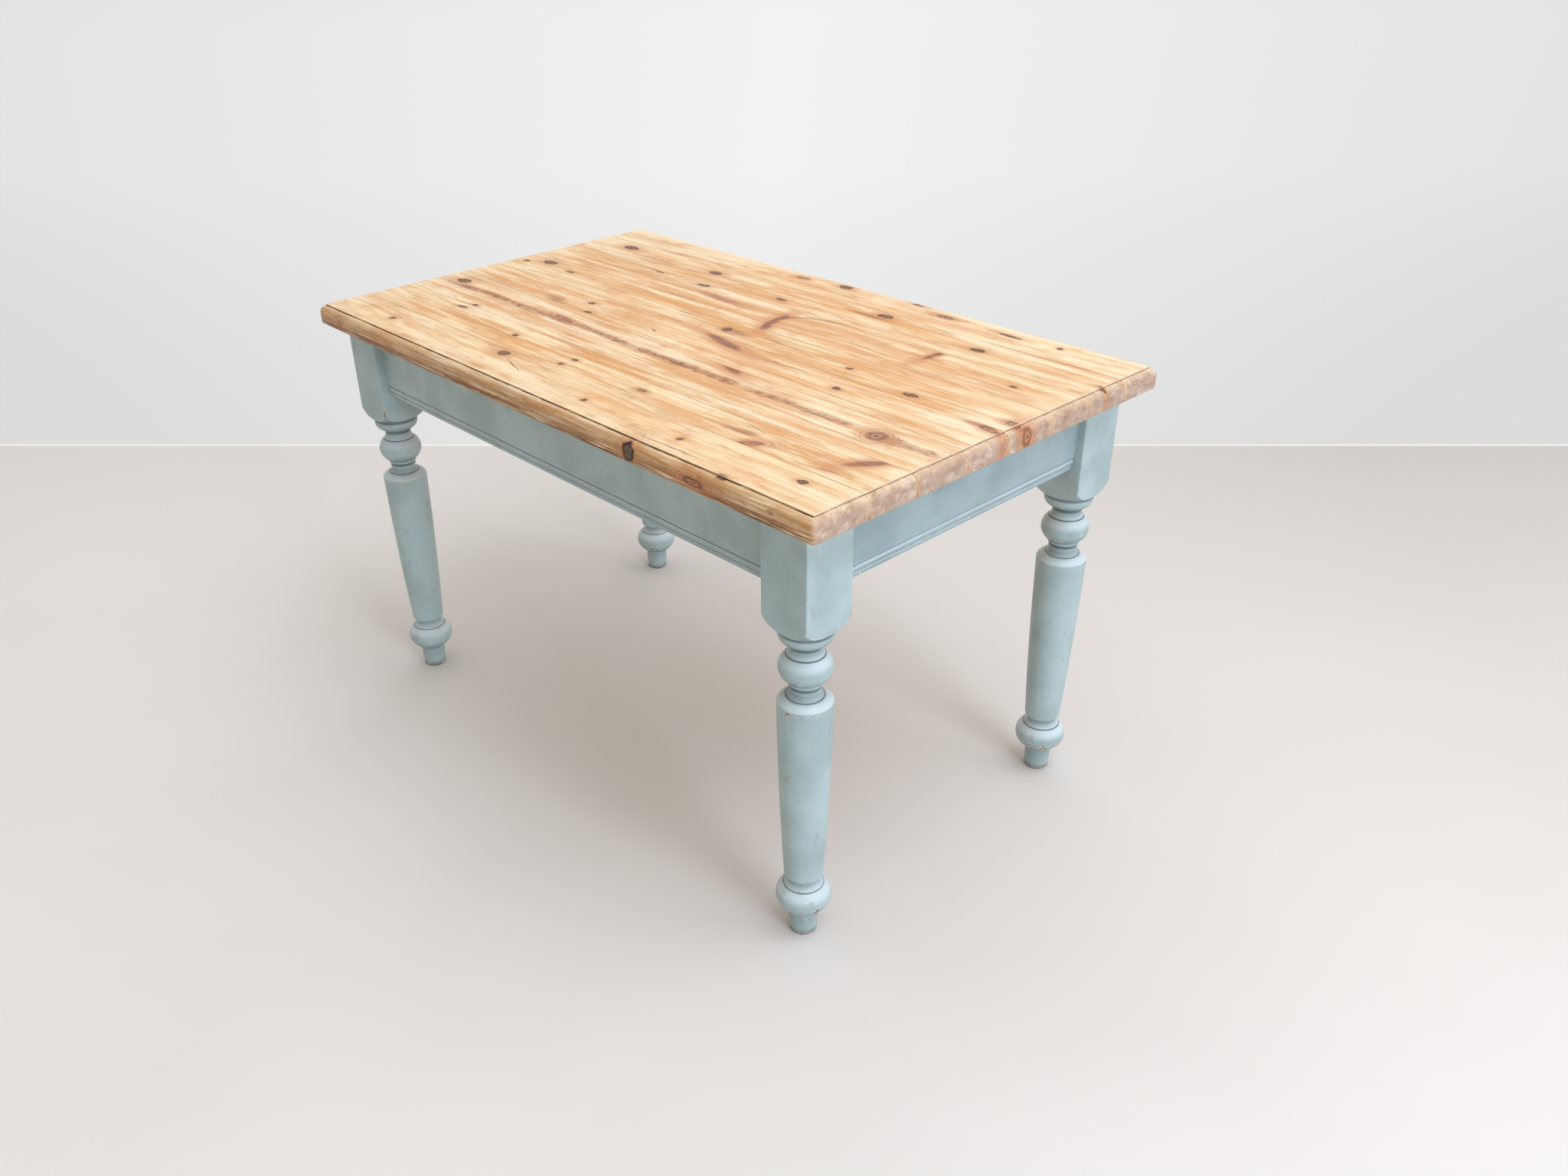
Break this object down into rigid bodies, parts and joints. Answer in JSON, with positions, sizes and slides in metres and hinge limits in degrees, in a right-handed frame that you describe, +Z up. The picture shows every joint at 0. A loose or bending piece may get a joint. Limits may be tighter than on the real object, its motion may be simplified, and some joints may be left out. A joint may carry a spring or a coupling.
{
  "type": "kitchen table with drawers",
  "caption": "Kitchen table with a moulded plank top, turned legs, beaded aprons and drawers that slide out of one long side.",
  "frame": {"origin": "on the floor under the middle of the top", "axes": "+X along the table's length, -Y towards the plain long side, +Y towards the side with the drawers, +Z up"},
  "size_m": [1.27, 0.765, 0.77],
  "materials": {
    "waxed_pine_top": "sanded and waxed knotty pine, worn satin",
    "painted_pine": "pale blue-green eggshell paint on pine, worn through at the arrises",
    "bare_pine": "unfinished pine, darkened with age",
    "waxed_pine_knob": "turned and waxed pine, satin"
  },
  "bodies": {
    "frame": {"apron_front": "painted_pine", "apron_left": "painted_pine", "apron_right": "painted_pine", "drawer_divider": "painted_pine", "drawer_rail_bottom": "painted_pine", "drawer_rail_top": "painted_pine", "drawer_stops": "bare_pine", "guide_left": "bare_pine", "guide_middle": "bare_pine", "guide_right": "bare_pine", "kicker_left": "bare_pine", "kicker_middle": "bare_pine", "kicker_right": "bare_pine", "leg_front_left": "painted_pine", "leg_front_right": "painted_pine", "leg_rear_left": "painted_pine", "leg_rear_right": "painted_pine", "runner_left": "bare_pine", "runner_middle": "bare_pine", "runner_right": "bare_pine", "top_buttons": "bare_pine", "top_plank_1": "waxed_pine_top", "top_plank_2": "waxed_pine_top", "top_plank_3": "waxed_pine_top", "top_plank_4": "waxed_pine_top", "top_plank_5": "waxed_pine_top", "top_plank_6": "waxed_pine_top", "top_plank_7": "waxed_pine_top", "top_plank_8": "waxed_pine_top"},
    "drawer_left": {"drawer_left_front": "painted_pine", "drawer_left_side_outer": "bare_pine", "drawer_left_side_inner": "bare_pine", "drawer_left_back": "bare_pine", "drawer_left_bottom": "bare_pine", "drawer_left_knob": "waxed_pine_knob"},
    "drawer_right": {"drawer_right_front": "painted_pine", "drawer_right_side_outer": "bare_pine", "drawer_right_side_inner": "bare_pine", "drawer_right_back": "bare_pine", "drawer_right_bottom": "bare_pine", "drawer_right_knob": "waxed_pine_knob"}
  },
  "joints": [
    {"name": "drawer_left_slide", "type": "slide", "parent": "frame", "child": "drawer_left", "axis": [0, 1, 0], "range_m": [0, 0.33]},
    {"name": "drawer_right_slide", "type": "slide", "parent": "frame", "child": "drawer_right", "axis": [0, 1, 0], "range_m": [0, 0.33]}
  ]
}
